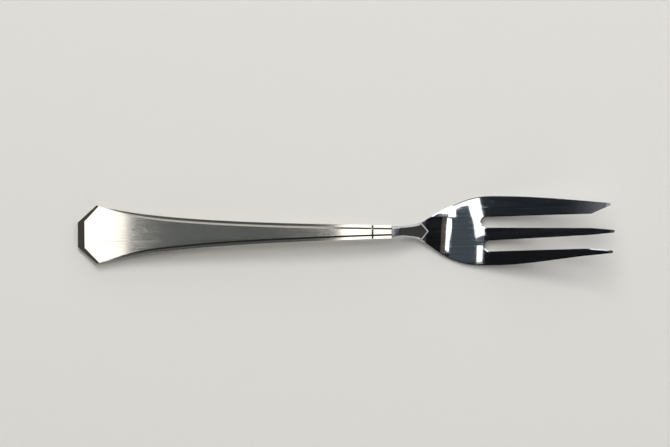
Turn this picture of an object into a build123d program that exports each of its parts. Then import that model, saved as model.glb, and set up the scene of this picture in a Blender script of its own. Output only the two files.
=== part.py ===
# A three-tined pastry fork pressed from stainless steel, lying face up.
# X runs from the end of the handle to the tips, Y towards the cutting tine, Z up from the table.
import os
from math import exp, sqrt

from build123d import *

# Lengths along the fork, one section after another
handle_length = 89.7
neck_length = 8.5
bowl_length = 19.7
tine_length = 34.9

# Handle in plan: half an octagon that draws in to the waist
handle_width = 16.6
waist_width = 3.7
flare_rate = 3.3
end_width = 7.0
corner_run = 5.4

# Handle from the side: an arch that stands on its end
end_thickness = 1.9
waist_thickness = 2.6
arch_radius = 430
crest_run = 67

# Relief struck into the face of the handle
relief_height = 0.28
rim_width = 0.7
side_bevel_width = 0.5
border_start = 13
border_blend = 2.6
border_least = 0.03
back_chamfer = 0.4
end_bevel_run = 1.95
end_bevel_width = 7.5
end_bevel_drop = 0.45
end_bevel_inset = 0.95
collar_length = 5.6
collar_bevel = 0.2
groove_width = 0.6
groove_depth = 0.3

# Neck, stepped in from the waist, and the chevron where it meets the bowl
waist_step = 0.25
shoulder_width = 5.5
shoulder_slope = 0.5
neck_rounding = 0.6
chevron_depth = 1.9
chevron_drop = 0.55
chevron_angle = 29
chevron_step = 0.25

# Bowl: an arc on its heel, crowned across, its shoulder slimmer on the cutting side
heel_run = 8.6
heel_radius = 38
shoulder_thickness = 1.95
heel_thickness = 1.6
root_thickness = 1.65
crown_radius = 70
crown_sweep = 30
edge_chamfer = 0.2
edge_roll = 0.25
edge_fall = 0.085
cutting_shoulder = ((5.2, 5.6), (10.9, 8.15))
outer_shoulder = ((5.2, 6.3), (10.9, 9.0))

# Tines and the slots between them
cutting_root = 5.9
middle_root = 3.65
outer_root = 4.0
slot_width = 3.1
upper_slot_depth = 2.8
lower_slot_depth = 1.9
tip_thickness = 1.2
tip_width = 0.62
tip_radius = 0.55
point_grind = 0.35
grind_lean = 2.5
point_run = 7.0
point_lean = 5.4
point_bend_radius = 20
middle_tip_shift = 0.5
outer_tip_shift = 1.6
outer_tip_setback = 0.5
cutting_tip_inset = 2.65
cutting_tip_setback = 1.0
cutting_tip_lean = 5.5
cutting_inner_inset = 0.75
slant_angle = 23

# Stations of the loft along the handle, overlap of bodies trimmed to each other, and excess at a tip
stem_stations = 16
overlap = 2.0
tip_excess = 0.5

overall_length = handle_length + neck_length + bowl_length + tine_length
head_width = cutting_root + middle_root + outer_root + 2 * slot_width
neck_width = waist_width - 2 * waist_step
neck_thickness = waist_thickness - 2 * waist_step
shoulder = handle_length + neck_length
heel = shoulder + heel_run
root = shoulder + bowl_length
tip = root + tine_length
datum = -overall_length / 2

plan = Plane(origin=(datum, 0, 0))
side = Plane(origin=(datum, 0, 0), x_dir=(1, 0, 0), z_dir=(0, -1, 0))

os.makedirs("parts", exist_ok=True)


def across(run):
    return Plane(origin=(datum + run, 0, 0), x_dir=(0, 1, 0), z_dir=(1, 0, 0))


def at(run, offset, height):
    return Vector(datum + run, offset, height)


def arc_drop(radius, run):
    return radius - sqrt(radius**2 - run**2)


def top_height(run):
    crest = end_thickness + arc_drop(arch_radius, crest_run)
    return crest - arc_drop(arch_radius, run - crest_run)


def back_height(run):
    return top_height(run) - end_thickness - (waist_thickness - end_thickness) * run / handle_length


def half_width(run):
    def spread(place):
        return (handle_length - place) / (handle_length + flare_rate * place)

    growth = (handle_width - waist_width) / 2 / spread(corner_run)
    return waist_width / 2 + growth * spread(run)


# One cross-section of the handle: chamfered back, rim, side bevel and raised panel
def handle_section(run, pinch=0.0):
    border = 1 / (1 + exp((border_start - run) / border_blend))
    edge = half_width(run) - pinch / 2
    rim = edge - border_least - rim_width * border
    panel = rim - border_least - side_bevel_width * border
    top = top_height(run) - pinch
    low = top - border_least - relief_height * border
    back = back_height(run)
    lower_right = [(edge - back_chamfer, back), (edge, back + back_chamfer)]
    right = lower_right + [(edge, low), (rim, low), (panel, top)]
    left = [(-offset, height) for offset, height in reversed(right)]
    with BuildSketch(across(run)) as section:
        with BuildLine():
            Polyline(*right, *left, close=True)
        make_face()
    return section.sketch


def facet(a, b, c):
    normal = (b - a).cross(c - a)
    return Plane(origin=a, z_dir=normal if normal.Z > 0 else -normal)


groove_run = handle_length - collar_length
groove_start = groove_run - groove_width / 2
groove_end = groove_run + groove_width / 2
stem = [handle_section(groove_start * station / stem_stations) for station in range(stem_stations + 1)]
groove_floor = handle_section(groove_run, groove_depth)
collar_start = handle_section(groove_end)
collar_end = handle_section(handle_length - collar_bevel)
waist = handle_section(handle_length, collar_bevel)

with BuildPart() as handle:
    loft(stem)
    loft([stem[-1], groove_floor, collar_start], ruled=True)
    loft([collar_start, collar_end, waist], ruled=True)
    bevel_foot = top_height(0) - end_bevel_drop
    bevel_head = top_height(end_bevel_run)
    for way in (1, -1):
        end_corner = at(0, way * end_width / 2, bevel_foot)
        bevel_end = at(corner_run, way * (handle_width / 2 - end_bevel_inset), top_height(corner_run))
        inner_corner = at(end_bevel_run, way * end_bevel_width / 2, bevel_head)
        outward = ((end_width - handle_width) / 2, way * corner_run, 0)
        split(bisect_by=Plane(origin=end_corner, z_dir=outward), keep=Keep.BOTTOM)
        split(bisect_by=facet(end_corner, inner_corner, bevel_end), keep=Keep.BOTTOM)
    end_middle = at(0, 0, bevel_foot)
    split(bisect_by=facet(end_middle, end_corner, inner_corner), keep=Keep.BOTTOM)
handle.part.label = "handle"
export_step(handle.part, "parts/handle.step")

# Side view of the head: the bowl is an arc on its heel and the tines run on straight from it
shoulder_rise = arc_drop(heel_radius, heel_run)
root_rise = arc_drop(heel_radius, root - heel)
tine_slope = (root - heel) / (heel_radius - root_rise)
blank_end = tip + overlap
blank_rise = root_rise + tine_slope * (blank_end - root)
waist_slope = (crest_run - handle_length) / arch_radius
waist_middle = (top_height(handle_length) + back_height(handle_length)) / 2
waist_back = waist_middle - neck_thickness / 2
waist_front = waist_middle + neck_thickness / 2


def head_front(step):
    tine = Line((blank_end, blank_rise + tip_thickness + step), (root, root_rise + root_thickness + step))
    bend = TangentArc(tine @ 1, (heel, heel_thickness + step), tangent=tine % 1)
    rise = TangentArc(bend @ 1, (shoulder, shoulder_rise + shoulder_thickness + step), tangent=bend % 1)
    neck_bend = Spline(rise @ 1, (handle_length, waist_front), tangents=[rise % 1, (-1, -waist_slope)])
    return neck_bend @ 1, tine @ 0


def head_side(step):
    with BuildSketch(side.offset(-head_width)) as outline:
        with BuildLine():
            bend = ThreePointArc((shoulder, shoulder_rise), (heel, 0), (root, root_rise))
            neck_bend = Spline((handle_length, waist_back), bend @ 0, tangents=[(1, waist_slope), bend % 0])
            tine = Line(bend @ 1, (blank_end, blank_rise))
            front_start, front_end = head_front(step)
            Line(neck_bend @ 0, front_start)
            Line(tine @ 1, front_end)
        make_face()
    return outline.sketch


# The front of the head is crowned across: the space under it is turned about a line deep below the table
def crowned_space(step):
    axis = Axis(at(0, 0, heel_thickness - crown_radius), (1, 0, 0))
    with BuildSketch(side) as under:
        with BuildLine():
            front_start, front_end = head_front(step)
            Polyline(front_start, (handle_length, -overlap), (blank_end, -overlap), front_end)
        make_face()
    with BuildPart() as space:
        revolve(under.sketch.rotate(axis, crown_sweep / 2), axis.reverse(), crown_sweep)
    return space.part


neck_side = head_side(chevron_step)
neck_space = crowned_space(chevron_step)
bowl_side = head_side(0)
bowl_space = crowned_space(0)

# Plan of the neck and bowl, run on past the tine roots
with BuildSketch(plan) as head_plan:
    with BuildLine():
        for way, curve in ((1, cutting_shoulder), (-1, outer_shoulder)):
            neck_edge = Spline(
                (handle_length, way * neck_width / 2),
                (shoulder, way * shoulder_width / 2),
                tangents=[(1, 0), (1, way * shoulder_slope)],
            )
            bowl_edge = Spline(
                neck_edge @ 1,
                *[(shoulder + run, way * offset) for run, offset in curve],
                (root, way * head_width / 2),
                tangents=[(1, way * shoulder_slope), (1, 0)],
            )
            Line(bowl_edge @ 1, (root + overlap, way * head_width / 2))
        Line((root + overlap, head_width / 2), (root + overlap, -head_width / 2))
        Line((handle_length, -neck_width / 2), (handle_length, neck_width / 2))
    make_face()

# The neck ends in a wedge that points at the tines, and its leaning faces are the step of the chevron
with BuildPart() as chevron:
    Box(overall_length, 2 * head_width, 2 * head_width)
    shoulder_front = shoulder_rise + shoulder_thickness
    chevron_point = at(shoulder + chevron_depth, 0, shoulder_front - chevron_drop)
    for way in (1, -1):
        toward_tines = Vector(1, 0, 0).rotate(Axis.Z, way * chevron_angle)
        split(bisect_by=Plane(origin=chevron_point, z_dir=toward_tines + Vector(0, 0, 1)), keep=Keep.BOTTOM)


def long_edges(part):
    return part.edges().filter_by(lambda edge: edge.bounding_box().size.X > tip_excess)


# The widest face that looks up, or with a way of -1 the widest that looks down
def widest(part, way):
    return part.faces().filter_by(lambda face: way * face.normal_at().Z > 0.5).sort_by(SortBy.AREA)[-1]


with BuildPart() as neck:
    extrude(head_plan.sketch, amount=head_width)
    extrude(neck_side, amount=2 * head_width, mode=Mode.INTERSECT)
    add(neck_space, mode=Mode.INTERSECT)
    split(bisect_by=across(heel), keep=Keep.BOTTOM)
    fillet(long_edges(neck), neck_rounding)
    add(chevron.part, mode=Mode.INTERSECT)
neck.part.label = "neck"
export_step(neck.part, "parts/neck.step")

outer_edge = head_width / 2
cutting_inside = outer_edge - cutting_root
middle_upper = cutting_inside - slot_width
middle_lower = middle_upper - middle_root
outer_inside = middle_lower - slot_width

with BuildSketch(plan) as slots:
    for slot_top, slot_depth in ((cutting_inside, upper_slot_depth), (middle_lower, lower_slot_depth)):
        slot_end = root - slot_depth + slot_width / 2
        with Locations((slot_end, slot_top - slot_width / 2)):
            Circle(slot_width / 2)
            Rectangle(tine_length, slot_width, align=(Align.MIN, Align.CENTER))

with BuildPart() as bowl:
    extrude(head_plan.sketch, amount=head_width)
    extrude(slots.sketch, amount=head_width, mode=Mode.SUBTRACT)
    extrude(bowl_side, amount=2 * head_width, mode=Mode.INTERSECT)
    add(bowl_space, mode=Mode.INTERSECT)
    split(bisect_by=across(shoulder - overlap), keep=Keep.TOP)
    chamfer(long_edges(widest(bowl, -1)), edge_chamfer)
    front = widest(bowl, 1)
    chamfer(long_edges(front), edge_roll, edge_fall, reference=front)
    add(chevron.part, mode=Mode.SUBTRACT)
    split(bisect_by=across(root), keep=Keep.BOTTOM)
bowl.part.label = "bowl"
export_step(bowl.part, "parts/bowl.step")


# Tine blanks in plan, from a little inside the bowl to a little past the tip
def straight_edge(offset, end):
    start = Vector(root, offset)
    return Line(end, start + (start - end).normalized() * overlap) @ 1


def curved_edge(offset, end, heading):
    stub = Line((root - overlap, offset), (root, offset))
    Spline(stub @ 1, end, tangents=[(1, 0), heading])
    return stub @ 0


def slender_point(reach, offset):
    end = reach + tip_excess
    far = PolarLine((end, offset + tip_width / 2), point_run, 180 - point_lean)
    near = PolarLine((end, offset - tip_width / 2), point_run, 180 + point_lean)
    Line(far @ 0, near @ 0)
    return far @ 1, near @ 1


# The part of the plan that is left when a tip is rounded off
def rounded_end(reach, offset):
    with BuildSketch(plan) as kept:
        with Locations((reach - tip_radius, offset)):
            Circle(tip_radius)
            Rectangle(overall_length, 2 * head_width, align=(Align.MAX, Align.CENTER))
    return kept.sketch


# The face of each point is ground nearly level, falling a little to the tip
def ground_face(reach, offset):
    front = root_rise + tine_slope * (reach - root) + tip_thickness - arc_drop(crown_radius, offset)
    upward = Vector(0, 0, 1).rotate(Axis.Y, grind_lean)
    return Plane(origin=at(reach, offset, front - point_grind), z_dir=upward)


middle_tip = (middle_upper + middle_lower) / 2 + middle_tip_shift
with BuildSketch(plan) as middle_plan:
    with BuildLine():
        far, near = slender_point(tip, middle_tip)
        Line(straight_edge(middle_upper, far), straight_edge(middle_lower, near))
    make_face()
    fillet(middle_plan.vertices().sort_by(Axis.X)[2:4], point_bend_radius)

outer_reach = tip - outer_tip_setback
outer_tip = (outer_inside - outer_edge) / 2 + outer_tip_shift
with BuildSketch(plan) as outer_plan:
    with BuildLine():
        far, near = slender_point(outer_reach, outer_tip)
        heading = Vector(1, 0).rotate(Axis.Z, point_lean)
        Line(straight_edge(outer_inside, far), curved_edge(-outer_edge, near, heading))
    make_face()
    fillet(outer_plan.vertices().sort_by_distance(far)[0], point_bend_radius)

cutting_reach = tip - cutting_tip_setback
cutting_tip = outer_edge - cutting_tip_inset
with BuildSketch(plan) as cutting_plan:
    with BuildLine():
        apex = Vector(cutting_reach + tip_excess, cutting_tip + tip_radius / 2)
        inside = Vector(apex.X, cutting_inside + cutting_inner_inset)
        heading = Vector(1, 0).rotate(Axis.Z, -cutting_tip_lean)
        Line(apex, inside)
        Line(straight_edge(cutting_inside, inside), curved_edge(outer_edge, apex, heading))
    make_face()

with BuildPart() as cutting_tine:
    extrude(cutting_plan.sketch, amount=head_width)
    extrude(bowl_side, amount=2 * head_width, mode=Mode.INTERSECT)
    add(bowl_space, mode=Mode.INTERSECT)
    chamfer(long_edges(widest(cutting_tine, -1)), edge_chamfer)
    front = widest(cutting_tine, 1)
    chamfer(long_edges(front), edge_roll, edge_fall, reference=front)
    slant_end = at(cutting_reach, cutting_tip - tip_radius / 2, 0)
    inward = Vector(0, -1, 0).rotate(Axis.Z, slant_angle)
    split(bisect_by=Plane(origin=slant_end, z_dir=inward), keep=Keep.BOTTOM)
    extrude(rounded_end(cutting_reach, cutting_tip), amount=head_width, mode=Mode.INTERSECT)
    split(bisect_by=ground_face(cutting_reach, cutting_tip), keep=Keep.BOTTOM)
    split(bisect_by=across(root), keep=Keep.TOP)
cutting_tine.part.label = "cutting_tine"
export_step(cutting_tine.part, "parts/cutting_tine.step")

with BuildPart() as middle_tine:
    extrude(middle_plan.sketch, amount=head_width)
    extrude(bowl_side, amount=2 * head_width, mode=Mode.INTERSECT)
    add(bowl_space, mode=Mode.INTERSECT)
    chamfer(long_edges(widest(middle_tine, -1)), edge_chamfer)
    front = widest(middle_tine, 1)
    chamfer(long_edges(front), edge_roll, edge_fall, reference=front)
    extrude(rounded_end(tip, middle_tip), amount=head_width, mode=Mode.INTERSECT)
    split(bisect_by=ground_face(tip, middle_tip), keep=Keep.BOTTOM)
    split(bisect_by=across(root), keep=Keep.TOP)
middle_tine.part.label = "middle_tine"
export_step(middle_tine.part, "parts/middle_tine.step")

with BuildPart() as outer_tine:
    extrude(outer_plan.sketch, amount=head_width)
    extrude(bowl_side, amount=2 * head_width, mode=Mode.INTERSECT)
    add(bowl_space, mode=Mode.INTERSECT)
    chamfer(long_edges(widest(outer_tine, -1)), edge_chamfer)
    front = widest(outer_tine, 1)
    chamfer(long_edges(front), edge_roll, edge_fall, reference=front)
    extrude(rounded_end(outer_reach, outer_tip), amount=head_width, mode=Mode.INTERSECT)
    split(bisect_by=ground_face(outer_reach, outer_tip), keep=Keep.BOTTOM)
    split(bisect_by=across(root), keep=Keep.TOP)
outer_tine.part.label = "outer_tine"
export_step(outer_tine.part, "parts/outer_tine.step")
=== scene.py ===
import math

import bpy
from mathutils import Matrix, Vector


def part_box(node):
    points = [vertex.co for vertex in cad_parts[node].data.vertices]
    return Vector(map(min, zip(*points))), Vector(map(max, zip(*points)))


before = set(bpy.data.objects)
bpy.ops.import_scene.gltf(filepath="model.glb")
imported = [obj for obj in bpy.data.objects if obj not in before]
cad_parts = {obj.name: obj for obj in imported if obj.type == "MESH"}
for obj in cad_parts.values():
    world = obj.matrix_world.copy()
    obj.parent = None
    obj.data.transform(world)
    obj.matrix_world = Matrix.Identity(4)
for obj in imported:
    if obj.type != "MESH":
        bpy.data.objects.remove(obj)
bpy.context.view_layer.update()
mm = 0.001
print("frame loaded:", sorted(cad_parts))


def linear(hexColor):
    # sRGB hex to linear RGBA
    values = [int(hexColor[i:i + 2], 16) / 255 for i in (1, 3, 5)]
    return [v / 12.92 if v <= 0.04045 else ((v + 0.055) / 1.055) ** 2.4 for v in values] + [1.0]


def addNode(tree, kind, settings=None, **inputs):
    # adds one node; an input is a value or the socket that feeds it, and is called by the socket's name,
    # or by its number (i3) where sockets share a name
    node = tree.nodes.new(kind)
    for name, value in (settings or {}).items():
        setattr(node, name, value)
    for name, value in inputs.items():
        socket = node.inputs[int(name[1:])] if name[1:].isdigit() else node.inputs[name.replace("_", " ")]
        if isinstance(value, bpy.types.NodeSocket):
            tree.links.new(value, socket)
        else:
            socket.default_value = value
    return node


def newMaterial(name):
    material = bpy.data.materials.new(name)
    material.use_nodes = True
    material.node_tree.nodes.clear()
    return material, material.node_tree


def drawnOut(length, pitch):
    # scale of a noise drawn out along the fork, from sizes in mm
    return 1 / (length * mm), 1 / (pitch * mm), 0


# sizes in mm; the brushing lines have their real pitch and melt into a haze at this distance, and the streaks
# where they gather are drawn coarser than real ones, or the picture would lose them
satin = {
    "tints": ("#d0cabf", "#c9c3b8"),
    "lineLength": 25,
    "linePitch": 0.02,
    "streakLength": 20,
    "streakPitch": 0.35,
    "streakDepth": 0.00004,
    "streakShare": 0.06,
    "hazeSpan": (0.46, 0.64),  # noise values between the clearest and the dullest line
    "hazeRoughness": (0.07, 0.23),
    "borderRoughness": 0.1,
    "anisotropy": 0.6,
    "crestX": -9.4,  # top of the handle's arch
    "archRadius": 430,
    "panelDepth": (0.04, 0.12),  # below the arch, where the panel gives way to the border
}


def satinSteel():
    # 18/10 stainless brushed lengthwise: a clear image along the fork under a soft haze of fine lines,
    # while the border and bevels below the raised panel keep the polish they were struck with
    material, tree = newMaterial("stainlessBrushedSatin")
    place = addNode(tree, "ShaderNodeTexCoord").outputs["Object"]
    # the arched top is close to a parabola, so what lies under that is not the panel
    axes = addNode(tree, "ShaderNodeSeparateXYZ", Vector=place)
    run = addNode(tree, "ShaderNodeMath", {"operation": "SUBTRACT"},
                  i0=axes.outputs[0], i1=satin["crestX"] * mm)
    square = addNode(tree, "ShaderNodeMath", {"operation": "MULTIPLY"}, i0=run.outputs[0], i1=run.outputs[0])
    sag = addNode(tree, "ShaderNodeMath", {"operation": "DIVIDE"},
                  i0=square.outputs[0], i1=2 * satin["archRadius"] * mm)
    level = addNode(tree, "ShaderNodeMath", {"operation": "ADD"}, i0=axes.outputs[2], i1=sag.outputs[0])
    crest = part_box("handle")[1][2]
    near, far = satin["panelDepth"]
    panel = addNode(tree, "ShaderNodeMapRange", Value=level.outputs[0],
                    From_Min=crest - far * mm, From_Max=crest - near * mm)
    fine = addNode(tree, "ShaderNodeMapping", Vector=place,
                   Scale=drawnOut(satin["lineLength"], satin["linePitch"]))
    lines = addNode(tree, "ShaderNodeTexNoise", Vector=fine.outputs[0], Scale=1.0, Detail=2.0)
    coarse = addNode(tree, "ShaderNodeMapping", Vector=place,
                     Scale=drawnOut(satin["streakLength"], satin["streakPitch"]))
    streaks = addNode(tree, "ShaderNodeTexNoise", Vector=coarse.outputs[0], Scale=1.0, Detail=3.0)
    both = addNode(tree, "ShaderNodeMix", Factor=satin["streakShare"],
                   i2=lines.outputs[0], i3=streaks.outputs[0])
    (low, high), (clear, dull) = satin["hazeSpan"], satin["hazeRoughness"]
    haze = addNode(tree, "ShaderNodeMapRange", Value=both.outputs[0],
                   From_Min=low, From_Max=high, To_Min=clear, To_Max=dull)
    rough = addNode(tree, "ShaderNodeMix", Factor=panel.outputs[0],
                    i2=satin["borderRoughness"], i3=haze.outputs[0])
    pale, dark = satin["tints"]
    tint = addNode(tree, "ShaderNodeMix", {"data_type": "RGBA"}, Factor=streaks.outputs[0],
                   i6=linear(pale), i7=linear(dark))
    relief = addNode(tree, "ShaderNodeBump", Strength=1.0, Distance=satin["streakDepth"] * mm,
                     Height=streaks.outputs[0])
    across = addNode(tree, "ShaderNodeCombineXYZ", Y=1.0)
    shader = addNode(tree, "ShaderNodeBsdfPrincipled", Base_Color=tint.outputs[2], Metallic=1.0,
                     Roughness=rough.outputs[0], Anisotropic=satin["anisotropy"],
                     Normal=relief.outputs[0], Tangent=across.outputs[0])
    addNode(tree, "ShaderNodeOutputMaterial", Surface=shader.outputs[0])
    return material


# sizes in mm; buffing lines and hair scratches are drawn coarser than real ones so that they show
mirror = {
    "tints": ("#a5abb4", "#e0e2e4"),
    "wavePitch": 6,
    "waveDepth": 0.008,
    "lineLength": 18,
    "linePitch": 0.5,
    "lineSpan": (0.4, 0.75),  # noise values between the clearest and the dullest line
    "lineRoughness": (0.04, 0.1),
    "scratchLength": 9,
    "scratchPitch": 1.6,
    "scratchTurn": 12,  # degrees
    "scratchShare": 0.003,
    "scratchRoughness": 0.12,
    "satinRunOut": (13.3, 19.5),  # along x
    "runOutRoughness": 0.24,
    "wornEnd": (56, 73),  # along x
    "wornSide": (2.5, 3.5),  # along y, between the middle tine and the broad one
    "wornRoughness": 0.17,
}


def mirrorSteel():
    # the same steel buffed to a mirror: clear reflections that waver a little, fine buffing lines along the
    # fork and a few hair scratches that show only at the edge of a highlight
    material, tree = newMaterial("stainlessMirrorPolished")
    place = addNode(tree, "ShaderNodeTexCoord").outputs["Object"]
    wave = addNode(tree, "ShaderNodeTexNoise", Vector=place, Scale=1 / (mirror["wavePitch"] * mm), Detail=1.0)
    relief = addNode(tree, "ShaderNodeBump", Strength=1.0, Distance=mirror["waveDepth"] * mm,
                     Height=wave.outputs[0])
    fine = addNode(tree, "ShaderNodeMapping", Vector=place,
                   Scale=drawnOut(mirror["lineLength"], mirror["linePitch"]))
    lines = addNode(tree, "ShaderNodeTexNoise", Vector=fine.outputs[0], Scale=1.0, Detail=2.0)
    (low, high), (clear, dull) = mirror["lineSpan"], mirror["lineRoughness"]
    buffed = addNode(tree, "ShaderNodeMapRange", Value=lines.outputs[0],
                     From_Min=low, From_Max=high, To_Min=clear, To_Max=dull)
    hair = addNode(tree, "ShaderNodeMapping", Vector=place,
                   Scale=drawnOut(mirror["scratchLength"], mirror["scratchPitch"]),
                   Rotation=(0, 0, math.radians(mirror["scratchTurn"])))
    bands = addNode(tree, "ShaderNodeTexNoise", Vector=hair.outputs[0], Scale=1.0, Detail=0.0)
    # a scratch runs where the noise crosses its middle value
    middle = addNode(tree, "ShaderNodeMath", {"operation": "SUBTRACT"}, i0=bands.outputs[0], i1=0.5)
    away = addNode(tree, "ShaderNodeMath", {"operation": "ABSOLUTE"}, i0=middle.outputs[0])
    scratch = addNode(tree, "ShaderNodeMapRange", Value=away.outputs[0], From_Max=mirror["scratchShare"],
                      To_Min=mirror["scratchRoughness"], To_Max=0.0)
    polish = addNode(tree, "ShaderNodeMath", {"operation": "ADD"},
                     i0=buffed.outputs[0], i1=scratch.outputs[0])
    # the brushing of the handle runs out along the neck
    axes = addNode(tree, "ShaderNodeSeparateXYZ", Vector=place)
    first, last = mirror["satinRunOut"]
    runOut = addNode(tree, "ShaderNodeMapRange", Value=axes.outputs[0],
                     From_Min=first * mm, From_Max=last * mm, To_Min=mirror["runOutRoughness"], To_Max=0.0)
    # use has dulled the end of the broad tine
    (start, end), (inner, outer) = mirror["wornEnd"], mirror["wornSide"]
    worn = addNode(tree, "ShaderNodeMapRange", Value=axes.outputs[0],
                   From_Min=start * mm, From_Max=end * mm, To_Max=mirror["wornRoughness"])
    broad = addNode(tree, "ShaderNodeMapRange", Value=axes.outputs[1],
                    From_Min=inner * mm, From_Max=outer * mm)
    dulled = addNode(tree, "ShaderNodeMath", {"operation": "MULTIPLY_ADD"},
                     i0=worn.outputs[0], i1=broad.outputs[0], i2=runOut.outputs[0])
    rough = addNode(tree, "ShaderNodeMath", {"operation": "MAXIMUM"},
                    i0=polish.outputs[0], i1=dulled.outputs[0])
    dark, pale = mirror["tints"]
    tint = addNode(tree, "ShaderNodeMix", {"data_type": "RGBA"}, Factor=lines.outputs[0],
                   i6=linear(dark), i7=linear(pale))
    shader = addNode(tree, "ShaderNodeBsdfPrincipled", Base_Color=tint.outputs[2], Metallic=1.0,
                     Roughness=rough.outputs[0], Normal=relief.outputs[0])
    addNode(tree, "ShaderNodeOutputMaterial", Surface=shader.outputs[0])
    return material


finish = {"handle": satinSteel(), "rest": mirrorSteel()}
for name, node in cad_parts.items():
    node.data.materials.clear()
    node.data.materials.append(finish.get(name, finish["rest"]))
print("steels made:", [material.name for material in finish.values()])

camera = {
    "distance": 2.0,  # metres
    "turn": -0.55,  # degrees
    "aim": (-2.96, 2.5),  # mm from the middle of the fork
    "imageWidth": 670,
    "pixelsPerMm": 3.5,
    "sensorWidth": 36,
    "farClip": 20,
}


def placeCamera():
    # straight above the fork
    data = bpy.data.cameras.new("photoCamera")
    eye = bpy.data.objects.new("photoCamera", data)
    bpy.context.collection.objects.link(eye)
    frameWidth = camera["imageWidth"] / camera["pixelsPerMm"] * mm
    data.sensor_width = camera["sensorWidth"]
    data.lens = camera["distance"] * camera["sensorWidth"] / frameWidth
    data.clip_end = camera["farClip"]
    x, y = camera["aim"]
    eye.location = (x * mm, y * mm, camera["distance"])
    eye.rotation_euler = (0, 0, math.radians(camera["turn"]))
    bpy.context.scene.camera = eye


floor = {"size": 8.0, "color": "#f2f0eb", "roughness": 0.9}


def layFloor():
    # uncoated paper: matt, so it takes the shadow and shows no reflection
    bpy.ops.mesh.primitive_plane_add(size=floor["size"])
    plane = bpy.context.object
    plane.name = "floor"
    material, tree = newMaterial("paperMatt")
    shader = addNode(tree, "ShaderNodeBsdfPrincipled", Base_Color=linear(floor["color"]),
                     Roughness=floor["roughness"])
    addNode(tree, "ShaderNodeOutputMaterial", Surface=shader.outputs[0])
    plane.data.materials.append(material)


# softboxes in metres; one with a turn, in degrees, hangs flat overhead and the others are aimed at the fork.
# inMetal False: the steel doesn't show it; onFloor False: only the steel shows it
softboxes = [
    {"name": "key", "place": (-0.14, 0.947, 1.282), "size": (0.62, 0.61), "radiance": 8.6,
     "inMetal": False},
    {"name": "keyCard", "place": (-0.136, 0.919, 1.244), "size": (0.6, 0.59), "radiance": 3.5,
     "onFloor": False},
    {"name": "farFill", "place": (0.86, 1.03, 0.87), "size": (1.3, 1.0), "radiance": 0.8},
    {"name": "nearFill", "place": (0.86, -1.03, 0.87), "size": (1.3, 1.0), "radiance": 0.8},
    {"name": "bevelCard", "place": (-0.19, 1.37, 0.8), "size": (0.54, 0.39), "radiance": 0.65},
    {"name": "bevelEnd", "place": (-0.32, 1.29, 0.76), "size": (0.15, 0.39), "radiance": 2.0},
    {"name": "neckCard", "place": (1.15, 0, 1.11), "size": (1.0, 0.7), "radiance": 0.06,
     "color": "#fff0e0"},
    {"name": "endCard", "place": (-1.1, 0, 1.0), "size": (2.0, 0.5), "radiance": 0.07},
    {"name": "glint", "place": (-0.769, 0.933, 1.466), "size": (0.08, 0.08), "radiance": 2.2},
    {"name": "upperPane", "place": (-0.17, 0.6, 1.8), "turn": -13.6, "size": (0.9, 0.5), "radiance": 2.4},
    {"name": "middlePane", "place": (0.01, 0.27, 1.8), "turn": 0, "size": (0.24, 0.11), "radiance": 2.4},
    {"name": "sidePane", "place": (0.65, 0.483, 1.8), "turn": 0, "size": (0.9, 0.434), "radiance": 3.2},
    {"name": "leftStrip", "place": (-0.638, 0.342, 1.8), "turn": -12, "size": (0.27, 0.88), "radiance": 2.3},
    {"name": "leftWedge", "place": (-0.627, 0.3, 1.8), "turn": -27, "size": (0.3, 0.345), "radiance": 2.3},
    {"name": "leftPatch", "place": (-0.715, -0.37, 1.8), "turn": 0, "size": (0.15, 0.26), "radiance": 3.0},
    {"name": "rightStrip", "place": (0.152, -0.054, 1.8), "turn": 12, "size": (0.145, 0.51), "radiance": 2.7},
    {"name": "ceiling", "place": (-0.37, -0.05, 1.82), "turn": 0, "size": (0.98, 0.9), "radiance": 0.115,
     "color": "#cfe6f2"},
    {"name": "warmCard", "place": (0.33, -0.1, 1.82), "turn": 12, "size": (0.22, 0.7), "radiance": 0.12,
     "color": "#ffe0c8"},
]


def hangSoftbox(box):
    data = bpy.data.lights.new(box["name"], "AREA")
    data.shape = "RECTANGLE"
    data.size, data.size_y = box["size"]
    data.energy = box["radiance"] * math.pi * data.size * data.size_y
    data.color = linear(box.get("color", "#ffffff"))[:3]
    lamp = bpy.data.objects.new(box["name"], data)
    bpy.context.collection.objects.link(lamp)
    lamp.location = box["place"]
    lamp.visible_glossy = box.get("inMetal", True)
    lamp.visible_diffuse = box.get("onFloor", True)
    if "turn" in box:
        lamp.rotation_euler = (0, 0, math.radians(box["turn"]))
    else:
        lamp.rotation_euler = (-Vector(box["place"])).to_track_quat("-Z", "Y").to_euler()


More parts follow.
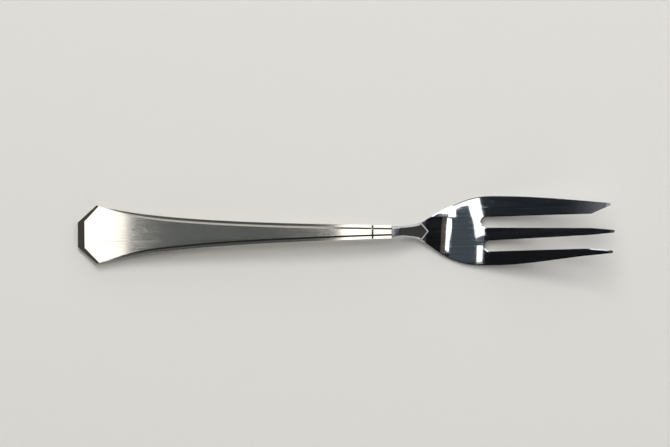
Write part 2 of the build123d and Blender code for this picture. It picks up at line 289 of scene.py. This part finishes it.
# places and spans are parts of a unit direction, with z up and y towards the lit side
room = {
    "dark": "#1b1c1e",
    "pale": "#f4f1ea",
    "wallSpan": (0.3, 0.83),
    "wallFade": 6.0,
    "sideSpan": (-0.5, 0.5),
    "sideShare": (0.2, 1.0),
    "glow": "#2a2f33",
    "glowPlace": (-0.5, 0.25, 0.83),
    "glowFade": 60.0,
}


def studioWorld():
    # a dark room with walls that are pale low down, most on the lit side;
    # they lift the shadows and light the edges
    world = bpy.data.worlds.new("darkStudio")
    bpy.context.scene.world = world
    world.use_nodes = True
    tree = world.node_tree
    tree.nodes.clear()
    direction = addNode(tree, "ShaderNodeTexCoord").outputs["Generated"]
    axes = addNode(tree, "ShaderNodeSeparateXYZ", Vector=direction)
    foot, top = room["wallSpan"]
    low = addNode(tree, "ShaderNodeMapRange", Value=axes.outputs[2], From_Min=foot, From_Max=top,
                  To_Min=1.0, To_Max=0.0)
    wall = addNode(tree, "ShaderNodeMath", {"operation": "POWER"}, i0=low.outputs[0], i1=room["wallFade"])
    (shaded, bright), (least, most) = room["sideSpan"], room["sideShare"]
    side = addNode(tree, "ShaderNodeMapRange", Value=axes.outputs[1], From_Min=shaded, From_Max=bright,
                   To_Min=least, To_Max=most)
    share = addNode(tree, "ShaderNodeMath", {"operation": "MULTIPLY"}, i0=wall.outputs[0], i1=side.outputs[0])
    shade = addNode(tree, "ShaderNodeMix", {"data_type": "RGBA"}, Factor=share.outputs[0],
                    i6=linear(room["dark"]), i7=linear(room["pale"]))
    # a faint blue glow high on the left, in which the broad tine stands out from black
    toGlow = addNode(tree, "ShaderNodeVectorMath", {"operation": "DOT_PRODUCT"},
                     i0=direction, i1=Vector(room["glowPlace"]).normalized())
    glow = addNode(tree, "ShaderNodeMath", {"operation": "POWER"},
                   i0=toGlow.outputs["Value"], i1=room["glowFade"])
    lit = addNode(tree, "ShaderNodeMix", {"data_type": "RGBA"}, Factor=glow.outputs[0],
                  i6=shade.outputs[2], i7=linear(room["glow"]))
    back = addNode(tree, "ShaderNodeBackground", Color=lit.outputs[2], Strength=1.0)
    addNode(tree, "ShaderNodeOutputWorld", Surface=back.outputs[0])


placeCamera()
layFloor()
for box in softboxes:
    hangSoftbox(box)
studioWorld()
bpy.context.scene.view_settings.view_transform = "Standard"
print("stage set with", len(softboxes), "softboxes")
